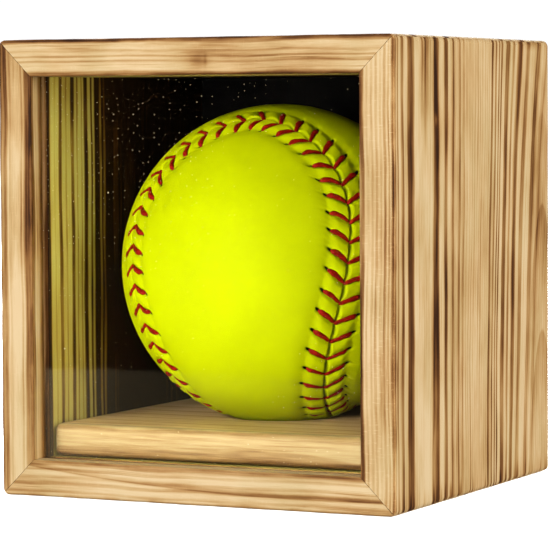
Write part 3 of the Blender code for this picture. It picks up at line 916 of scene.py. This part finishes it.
def black_material(name, base, roughness, grain, gloss):
    """Black paint or plastic with a fine uneven surface; grain is its scale in mm."""
    g = Graph(name)
    place = g.place()
    coarse = g.noise(place, 0.12, 3.0)
    fine = g.noise(place, 1 / grain, 3.0, 0.6)
    lighter = tuple(channel * 2.2 for channel in base)
    shader = g.principled(
        Base_Color=g.mix(g.smooth(coarse + fine * 0.5, 0.45, 1.05), base, lighter),
        Roughness=g.smooth(fine, 0.3, 0.7, roughness - 0.07, roughness + 0.09),
        Specular_IOR_Level=gloss,
        Normal=g.bump(fine, 0.05 * MM, 0.45),
    )
    return g.finish(shader)


def metal_material(name, color, roughness):
    """Plated metal with faint turning marks and a little tarnish."""
    g = Graph(name)
    x, y, z = g.place()
    marks = g.noise((x * 1.5, y * 9.0, z * 1.5))
    tarnish = g.smooth(g.noise((x, y, z), 0.9, 3.0), 0.35, 0.8)
    dull = tuple(channel * 0.72 for channel in color)
    shader = g.principled(
        Base_Color=g.mix(tarnish, color, dull),
        Metallic=1.0,
        Roughness=g.smooth(marks, 0.3, 0.7, roughness - 0.05, roughness + 0.12),
        Normal=g.bump(marks, 0.02 * MM, 0.4),
    )
    return g.finish(shader)


def recess_cutters(centre, reach, direction, depth):
    """Two tapered blades of a cross recess, cut from centre in direction (+1 or -1 along Y)."""
    cutters = []
    for across in (0, 1):
        points = []
        for share, half in ((-0.4, 1.15), (1.0, 0.45)):
            for u, v in ((-1, -1), (1, -1), (1, 1), (-1, 1)):
                wide, thin = u * reach * half, v * reach * 0.2 * half
                offset = Vector((wide, -direction * depth * share, thin))
                points.append(centre + (offset.zyx if across else offset))
        faces = [(0, 1, 2, 3), (4, 5, 6, 7)]
        faces += [(i, (i + 1) % 4, (i + 1) % 4 + 4, i + 4) for i in range(4)]
        cutters.append(mesh_of("blade", points, faces, 20))
    return cutters


def size_of(node):
    """(radius, length along Y) of a turned CAD node, in mm."""
    low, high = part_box(node)
    return (high.x - low.x) / 2 / MM, (high.y - low.y) / MM


def add_turned(node, look, profile, sides=48, recess=None, at_rear=False, body="tray"):
    """Adds a turned piece for a CAD node. look: (suffix, material, slot); the slot is not used. The
    profile is in mm.
    """
    low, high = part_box(node)
    centre = centre_of(node)
    centre.y = high.y if at_rear else low.y
    profile = [(radius * MM, reach * MM) for radius, reach in profile]
    mesh = turned(node + " mesh", profile, centre, sides)
    if recess:
        mesh = carve(mesh, recess_cutters(centre, *recess), 35)
    suffix, material, slot = look
    add_piece(f"{node}_{suffix}", mesh, material, body, node)


def screw_profile(head, length):
    """A countersunk head, a plain neck and a thread, in mm from the head's face backwards."""
    shank = SCREW_SHANK / MM
    profile = rounded([(AXIS, 0), (head, 0), (head, -0.25), (shank, -1.7), (shank, -4)], 0.12)
    reach = -4
    while reach > -length + 2.6:
        profile.append((shank, reach))
        profile += [(0.74 * shank, reach - share * THREAD_PITCH) for share in (0.35, 0.7)]
        reach -= THREAD_PITCH
    return profile + [(0.7 * shank, reach), (AXIS, -length)]


def build_hardware():
    steel = ("zinc", metal_material("zinc screw steel", (0.56, 0.55, 0.52), 0.30), "screw_steel")
    nickel = ("nickel", metal_material("nickel plate", (0.74, 0.72, 0.68), 0.20), "nickel_plate")
    paint = black_material("satin black knob", (0.010, 0.0095, 0.009), 0.34, 0.6, 0.35)
    for name in ("panel_screw_left", "panel_screw_right"):
        head, length = size_of(name)
        recess = (0.5 * head * MM, 1, 1.0 * MM)
        add_turned(name, steel, screw_profile(head, length), recess=recess, at_rear=True)
    head, length = size_of("knob_screw")
    profile = [(AXIS, 0), (0.62 * head, 0.05), (0.9 * head, 0.6), (head, 1.25), (head, 1.8)]
    profile += [(1.45, 1.8), (1.45, length - 0.3), (1.2, length), (AXIS, length)]
    add_turned("knob_screw", steel, rounded(profile, 0.25), recess=(0.45 * head * MM, -1, 0.9 * MM))
    outer, thick = size_of("knob_washer")
    half = (KNOB_BORE, thick / 2)
    profile = [half, (KNOB_BORE, 0), (outer, 0), (outer, thick), (KNOB_BORE, thick), half]
    add_turned("knob_washer", steel, rounded(profile, 0.1), sides=64)
    radius, length = size_of("pull_knob")
    profile = [(AXIS, KNOB_BORE_DEPTH), (KNOB_BORE, KNOB_BORE_DEPTH), (KNOB_BORE, 0)]
    profile += [(wide * radius, far * length) for wide, far in KNOB_SHAPE]
    profile.append((AXIS, 0.985 * length))
    add_turned("pull_knob", ("black", paint, "black_knob"), rounded(profile, 0.9, 6), sides=96)
    for owner, body in (("case", "case"), ("panel", "tray")):
        for place in ("left_lower", "left_upper", "right_lower", "right_upper"):
            name = f"{owner}_magnet_{place}"
            radius, thick = MAGNET_RADIUS / MM, size_of(name)[1]
            disc = [(AXIS, 0), (radius, 0), (radius, thick), (AXIS, thick)]
            add_turned(name, nickel, rounded(disc, 0.22), body=body)


# Ball: all relief is in millimetres.

RADIUS = BALL_RADIUS / MM
SEAM_SAMPLES = 9000
EDGE_GAP = 0.10
EDGE_ZONE = 8.4
ZONE_COLUMNS = 24
MIDDLE_COLUMNS = 26
COVER_ROWS = 860
INNER_COLUMNS = 8
COVER_INSIDE = 46.1
SEAM_SINK = 0.62
PILLOW = 0.95
HOLE_DISTANCE = 6.0


def seam_points(turn):
    """Unit vectors on the seam, in the ball's own frame; turn runs from 0 to 4 pi."""
    polar = np.pi / 2 - (np.pi / 2 - SEAM_WAIST) * np.cos(turn)
    azimuth = turn / 2 + SEAM_WAIST * np.sin(2 * turn)
    flat = np.sin(polar)
    return np.stack([flat * np.cos(azimuth), flat * np.sin(azimuth), np.cos(polar)], axis=-1)


def unit(vectors):
    return vectors / np.linalg.norm(vectors, axis=-1, keepdims=True)


SEAM_TURNS = np.linspace(0, 4 * np.pi, SEAM_SAMPLES + 1)
SEAM_LINE = seam_points(SEAM_TURNS)
SEAM_STEPS = np.linalg.norm(np.diff(SEAM_LINE, axis=0), axis=1)
SEAM_ARC = np.concatenate([[0.0], np.cumsum(SEAM_STEPS) * RADIUS])
SEAM_LENGTH = SEAM_ARC[-1]
STITCH_PITCH = SEAM_LENGTH / STITCHES


def seam_frame(station):
    """(point, sideways) unit vectors on the seam at these arc stations in mm."""
    turn = np.interp(np.mod(station, SEAM_LENGTH), SEAM_ARC, SEAM_TURNS)
    point = seam_points(turn)
    forward = unit(seam_points(turn + 0.001) - seam_points(turn - 0.001))
    return point, unit(np.cross(forward, point))


def smoothstep(value, low, high):
    share = np.clip((value - low) / (high - low), 0, 1)
    return share * share * (3 - 2 * share)


def stitch_jitter():
    """Small differences of each stitch's two legs: (reach, lean, weight), from -1 to 1."""
    chance = random.Random(11)
    values = [chance.uniform(-1, 1) for _ in range(STITCHES * 2 * 3)]
    return np.array(values).reshape(STITCHES, 2, 3)


JITTER = stitch_jitter()


def seam_lookup(directions):
    """(distance from the seam, arc station, side 0 or 1) of unit vectors in the ball's frame."""
    tree = kdtree.KDTree(SEAM_SAMPLES)
    for index in range(SEAM_SAMPLES):
        tree.insert(SEAM_LINE[index], index)
    tree.balance()
    found = [tree.find(direction)[1:] for direction in directions]
    index = np.array([item[0] for item in found])
    chord = np.array([item[1] for item in found])
    distance = 2 * np.arcsin(np.clip(chord / 2, 0, 1)) * RADIUS
    sideways = seam_frame(SEAM_ARC[index])[1]
    side = (np.sum((directions - SEAM_LINE[index]) * sideways, axis=1) < 0).astype(int)
    return distance, SEAM_ARC[index], side


def relief(distance, station, side):
    """The cover's height over the ball's radius in mm, its painted shade along the seam line, in
    the creases and round the pulls, and its painted shade in the needle holes.
    """
    order = (station + LEG_SLOPE * distance) / STITCH_PITCH - STITCH_PHASE
    nearest = np.round(order)
    jitter = JITTER[np.mod(nearest.astype(int), STITCHES), side]
    phase = order - np.floor(order)
    lobe = np.mod(np.floor(order).astype(int), STITCHES)
    plump = 1 + 0.12 * JITTER[lobe, side, 2]
    offset = (order - nearest) * STITCH_PITCH * math.cos(math.atan(LEG_SLOPE))
    offset = offset - 0.22 * jitter[:, 1] * distance / HOLE_DISTANCE
    rise = smoothstep(distance, -0.1, 1.0) * (1 - smoothstep(distance, 4.0, 7.2))
    swell = np.clip((np.abs(offset) - 0.5) / 2.2, 0, 1)
    pillow = PILLOW * plump * (1 - (1 - swell) ** 2.4) * rise
    sink = -SEAM_SINK * (1 - smoothstep(distance, 5.0, 10.5))
    valley = -0.75 * np.exp(-((distance / 0.34) ** 2))
    under = smoothstep(distance, 0.3, 1.2) * (1 - smoothstep(distance, 5.6, 6.6))
    crease = np.exp(-((offset / 0.42) ** 2)) * under
    hole_reach = HOLE_DISTANCE + 0.45 + 0.3 * jitter[:, 0]
    run = (distance - hole_reach) / math.cos(math.atan(LEG_SLOPE))
    hole = np.exp(-((run / 1.05) ** 2) - (offset / 0.42) ** 2)
    pull = np.exp(-((run / 1.5) ** 2) - (offset / 0.9) ** 2)
    spokes = np.cos(2 * np.pi * phase * 3) * np.exp(-(((distance - 7.4) / 1.1) ** 2))
    height = sink + pillow + valley - 0.16 * crease - 0.60 * hole - 0.16 * pull - 0.030 * spokes
    # Painted shade: darker along the seam line, in the creases under the stitches and round the
    # pulls.
    painted_shade = np.clip(0.5 * np.exp(-((distance / 0.5) ** 2)) + 0.6 * crease + 0.35 * pull, 0, 1)
    # The third value is painted shade in the needle holes.
    return height, painted_shade, np.clip(hole * 1.35, 0, 1)


def row_turns():
    """Turns of the cover's rows, even along its edge and wider apart at its two ends."""
    arc = SEAM_ARC[SEAM_TURNS <= 2 * np.pi + 1e-9]
    turns = SEAM_TURNS[SEAM_TURNS <= 2 * np.pi + 1e-9]
    half = arc[-1]
    ease = np.linspace(0, 1, COVER_ROWS + 1)
    weight = 1 + 3.0 * (np.exp(-((ease / 0.006) ** 2)) + np.exp(-(((1 - ease) / 0.006) ** 2)))
    share = np.concatenate([[0.0], np.cumsum((weight[1:] + weight[:-1]) / 2)])
    station = share / share[-1] * half
    return np.interp(station, arc, turns) - np.pi


def cover_grid():
    """The middle line of the cover whose waist crosses +Z, as unit vectors, and its half angles."""
    turn = row_turns()
    shifted = turn + 4 * np.pi
    point = seam_points(shifted)
    inward = unit(np.cross(seam_points(shifted + 0.001) - seam_points(shifted - 0.001), point))
    edge = unit(point - inward * EDGE_GAP / RADIUS)
    edge[:, 0] = np.maximum(edge[:, 0], 0.0)
    edge[[0, -1], 0] = 0.0
    middle = unit(edge * np.array([0.0, 1.0, 1.0]))
    half = np.arctan2(edge[:, 0], np.hypot(edge[:, 1], edge[:, 2]))
    return middle, half


def fan(middle, angles):
    """Unit vectors at these angles to either side of the cover's middle line."""
    angles = angles[..., None]
    return middle[:, None, :] * np.cos(angles) + np.array([1.0, 0, 0]) * np.sin(angles)


def cover_angles(half):
    zone = np.minimum(EDGE_ZONE / RADIUS, 0.7 * half)[:, None]
    half = half[:, None]
    outer = np.linspace(0, 1, ZONE_COLUMNS + 1)[None, :-1]
    inner = np.linspace(1, -1, MIDDLE_COLUMNS + 1)[None, :]
    left = half - zone * outer
    centre = (half - zone) * inner
    return np.concatenate([left, centre, -left[:, ::-1]], axis=1)


def ball_matrix():
    return Matrix.Translation(BALL_CENTRE) @ BALL_LIE.to_matrix().to_4x4()


def to_row_frame(points):
    """Ball-frame points in mm as row-frame metres."""
    matrix = np.array(ball_matrix())
    return points * MM @ matrix[:3, :3].T + matrix[:3, 3]


def cover_mesh(name, turned_over):
    middle, half = cover_grid()
    outer = fan(middle, cover_angles(half))
    inner = fan(middle, half[:, None] * np.linspace(1, -1, INNER_COLUMNS + 1)[None, :])
    if turned_over:
        outer, inner = (grid[..., [1, 0, 2]] * np.array([1, 1, -1]) for grid in (outer, inner))
    rows, columns = outer.shape[:2]
    flat = outer.reshape(-1, 3)
    distance, station, side = seam_lookup(flat)
    height, painted_shade, needle = relief(distance, station, side)
    wave = 0.05 * np.array([noise.noise(Vector(v) * 3.1) for v in flat])
    reach = RADIUS + height + wave * smoothstep(distance, 6, 14) - 0.05
    skin = to_row_frame(flat * reach[:, None])
    lining = to_row_frame(inner.reshape(-1, 3) * COVER_INSIDE)
    points = np.concatenate([skin, lining])
    base = rows * columns
    faces = grid_faces(rows, columns, 0) + grid_faces(rows, INNER_COLUMNS + 1, base)
    for row in range(rows - 1):
        for column, under in ((0, 0), (columns - 1, INNER_COLUMNS)):
            top, below = row * columns + column, base + row * (INNER_COLUMNS + 1) + under
            faces.append((top, top + columns, below + INNER_COLUMNS + 1, below))
    mesh = bpy.data.meshes.new(name)
    mesh.from_pydata(points.tolist(), [], faces)
    # Both attributes carry painted shade into the cover's material.
    for label, values in (("crease", painted_shade), ("needle", needle)):
        layer = mesh.attributes.new(label, "FLOAT", "POINT")
        values = np.concatenate([values, np.ones(len(lining))]).astype(np.float32)
        layer.data.foreach_set("value", values)
    tidy_mesh(mesh)
    mesh.shade_smooth()
    mesh.set_sharp_from_angle(angle=math.radians(75))
    return mesh


def grid_faces(rows, columns, first):
    faces = []
    for row in range(rows - 1):
        for column in range(columns - 1):
            corner = first + row * columns + column
            faces.append((corner, corner + 1, corner + columns + 1, corner + columns))
    return faces


LEG_STATIONS = 18
LEG_SIDES = 14
LEG_SHARES = [0.0, 0.07, 0.16, 0.30, 0.50, 0.72, 0.90, 1.0]
LEG_WIDTHS = [0.46, 0.70, 0.80, 0.84, 0.78, 0.68, 0.56, 0.42]
LEG_HEIGHTS = [-1.00, -0.42, -0.10, -0.02, -0.06, -0.16, -0.34, -0.85]


def leg(index, side):
    """Points of one leg of a stitch, in rings from its needle hole to the apex on the seam."""
    reach, lean, weight = JITTER[index, side]
    share = np.linspace(0, 1, LEG_STATIONS)
    long_leg = side == 1
    end = -0.35 if long_leg else 0.30
    start = HOLE_DISTANCE + 0.3 * reach
    distance = start + (end - start) * share
    apex = (index + STITCH_PHASE) * STITCH_PITCH
    bow = -0.42 * np.sin(np.pi * share) * (1 + 0.3 * lean)
    station = apex - LEG_SLOPE * np.maximum(distance, 0) + bow
    station = station + 0.22 * lean * distance / HOLE_DISTANCE
    point, sideways = seam_frame(station)
    turn = (distance / RADIUS * (1 if side == 0 else -1))[:, None]
    centre = point * np.cos(turn) + sideways * np.sin(turn)
    width = np.interp(share, LEG_SHARES, LEG_WIDTHS) * (1 + 0.09 * weight)
    height = np.interp(share, LEG_SHARES, LEG_HEIGHTS)
    if long_leg:
        height = height + 0.16 * smoothstep(share, 0.7, 0.95)
    middle = centre * (RADIUS - 0.38 + height)[:, None]
    along = unit(np.gradient(middle, axis=0))
    across = unit(np.cross(centre, along))
    up = unit(np.cross(along, across))
    angle = np.linspace(0, 2 * np.pi, LEG_SIDES, endpoint=False)[None, :]
    ply = 1 + 0.085 * np.cos(2 * angle - 2 * np.pi * share[:, None] * 2.4 + index)
    wide = (width[:, None] * ply * np.cos(angle))[..., None]
    tall = (width[:, None] * 0.66 * ply * np.sin(angle))[..., None]
    return (middle[:, None, :] + across[:, None, :] * wide + up[:, None, :] * tall).reshape(-1, 3)


def stitches_mesh():
    points = []
    faces = []
    for index in range(STITCHES):
        for side in (0, 1):
            first = len(points) * LEG_STATIONS * LEG_SIDES
            faces += tube_faces(LEG_STATIONS, LEG_SIDES, first)
            points.append(leg(index, side))
    return mesh_of("stitches", to_row_frame(np.concatenate(points)), faces, 60)


def cover_material():
    g = Graph("optic yellow cover")
    place = g.place()
    crease = g.output("Attribute", {"attribute_name": "crease"}, key="Fac")
    needle = g.output("Attribute", {"attribute_name": "needle"}, key="Fac")
    mottle = g.noise(place, 0.07, 3.0)
    fine = g.noise(place, 1.9, 3.0, 0.6)
    pores = g.output("TexVoronoi", inputs={"Vector": place, "Scale": 1.3}, key="Distance")
    color = g.mix(g.smooth(mottle, 0.3, 0.75), (0.330, 0.368, 0.0001), (0.304, 0.340, 0.0001))
    # Painted shade: olive green along the seam and in the creases.
    color = g.mix(crease * 0.62, color, (0.22, 0.29, 0.002))
    shader = g.principled(
        # Painted shade: near black in the needle holes.
        Base_Color=g.mix(g.smooth(needle, 0.20, 0.62), color, (0.006, 0.007, 0.002)),
        Roughness=g.smooth(fine, 0.3, 0.7, 0.50, 0.60),
        Specular_IOR_Level=0.008,
        Normal=g.bump(fine * 0.5 + pores * 0.35, 0.05 * MM, 0.28),
    )
    return g.finish(shader)


def thread_material():
    g = Graph("waxed red thread")
    place = g.place()
    fuzz = g.noise(place, 3.4, 4.0, 0.7)
    lift = g.smooth(fuzz + g.noise(place, 0.5) * 0.4, 0.45, 0.95)
    shader = g.principled(
        Base_Color=g.mix(lift, (0.105, 0.0022, 0.0008), (0.235, 0.0065, 0.0018)),
        Roughness=g.smooth(fuzz, 0.3, 0.7, 0.42, 0.60),
        Specular_IOR_Level=0.03,
        Normal=g.bump(fuzz, 0.14 * MM, 0.7),
    )
    return g.finish(shader)


def core_material():
    """Moulded foam, hidden under the cover."""
    g = Graph("ball core foam")
    cells = g.output("TexVoronoi", inputs={"Vector": g.place(), "Scale": 1.1}, key="Distance")
    shader = g.principled(
        Base_Color=g.mix(g.smooth(cells, 0.1, 0.7), (0.30, 0.21, 0.11), (0.52, 0.40, 0.24)),
        Roughness=0.85,
        Normal=g.bump(cells, 0.2 * MM, 0.5),
    )
    return g.finish(shader)


def build_ball():
    yellow = cover_material()
    for node, turned_over in (("ball_cover_a", False), ("ball_cover_b", True)):
        mesh = cover_mesh(node, turned_over)
        add_piece(node + "_leather", mesh, yellow, "ball", node)
    red = thread_material()
    add_piece("red_stitches", stitches_mesh(), red, "ball", "seam_thread")
    repaint("ball_core", core_material())


def repaint(node, material):
    """Gives a CAD node a detailed material."""
    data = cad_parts[node].data
    data.materials.clear()
    data.materials.append(material)


# Floor, light and camera

FLOOR_REACH = 6.0
FLOOR_DROP = 0.2 * MM
WORLD_LIGHT = 0.11
WORLD_SEEN = 1.05
SWEEP_STRENGTH = 3.6
LIGHT_DISTANCE = 1.5
# Area lights as (name, azimuth and elevation in degrees, size in metres, power in watts).
LIGHTS = [
    ("key", -8, 8, 0.7, 19.8),
    ("side", 80, 8, 0.9, 22.2),
    ("rear", 212, 32, 0.9, 20.0),
    ("left", 262, 12, 0.9, 13.0),
]


def build_floor():
    g = Graph("pale floor")
    cloud = g.noise(g.place(), 0.004, 3.0)
    shader = g.principled(
        Base_Color=g.mix(g.smooth(cloud, 0.3, 0.7), (0.92, 0.92, 0.92), (0.95, 0.95, 0.95)),
        Roughness=0.9,
        Specular_IOR_Level=0.1,
    )
    signs = ((-1, -1), (1, -1), (1, 1), (-1, 1))
    corners = [(FLOOR_REACH * x, FLOOR_REACH * y, -FLOOR_DROP) for x, y in signs]
    mesh = bpy.data.meshes.new("floor")
    mesh.from_pydata(corners, [], [(0, 1, 2, 3)])
    mesh.materials.append(g.finish(shader))
    floor = new_object("floor", mesh)
    floor.visible_diffuse = False
    floor.visible_glossy = False
    floor.visible_shadow = False


def add_light(name, azimuth, elevation, size, power):
    """A square light aimed at the middle of the case. Azimuth 0 is in front, 90 to the right."""
    a, e = math.radians(azimuth), math.radians(elevation)
    direction = Vector((math.sin(a) * math.cos(e), -math.cos(a) * math.cos(e), math.sin(e)))
    data = bpy.data.lights.new(name, "AREA")
    data.size = size
    data.energy = power
    light = new_object(name, data)
    light.location = Vector((0, 0, CASE_HEIGHT / 2)) + direction * LIGHT_DISTANCE
    light.rotation_euler = direction.to_track_quat("Z", "Y").to_euler()
    light.visible_camera = False


def build_light():
    world = bpy.data.worlds.new("studio")
    world.use_nodes = True
    tree = world.node_tree
    background = tree.nodes["Background"]
    background.inputs[0].default_value = (1.0, 1.0, 1.0, 1.0)
    seen = tree.nodes.new("ShaderNodeLightPath").outputs["Is Camera Ray"]
    level = tree.nodes.new("ShaderNodeMapRange")
    tree.links.new(seen, level.inputs[0])
    level.inputs[3].default_value = WORLD_LIGHT
    level.inputs[4].default_value = WORLD_SEEN
    tree.links.new(level.outputs[0], background.inputs[1])
    bpy.context.scene.world = world
    bpy.context.scene.view_settings.view_transform = "Standard"
    for light in LIGHTS:
        add_light(*light)
    sweep = bpy.data.lights.new("sweep", "SUN")
    sweep.energy = SWEEP_STRENGTH
    sweep.use_shadow = False
    lamp = new_object("sweep", sweep)
    lit = bpy.data.collections.new("lit by the sweep lamp")
    lit.objects.link(bpy.data.objects["floor"])
    lamp.light_linking.receiver_collection = lit


def build_camera():
    data = bpy.data.cameras.new("camera")
    data.sensor_width = 36.0
    data.lens = CAMERA_LENS
    data.clip_start = 0.01
    data.clip_end = 30.0
    camera = new_object("camera", data)
    aim = Matrix.Rotation(CAMERA_YAW, 4, "Z")
    aim = aim @ Matrix.Rotation(math.pi / 2 - CAMERA_PITCH, 4, "X")
    aim = aim @ Matrix.Rotation(CAMERA_ROLL, 4, "Z")
    camera.matrix_world = Matrix.Translation(CAMERA_PLACE) @ aim
    bpy.context.scene.camera = camera


build_camera()
build_floor()
build_light()
build_case()
repaint("front_pane", pane_material())
back_paint = black_material("matte black board", (0.0026, 0.0021, 0.0016), 0.78, 0.9, 0.03)
repaint("back_panel", back_paint)
add_piece("base_board_pine", base_mesh(), base_wood(), "tray", "base_board")
build_hardware()
build_ball()
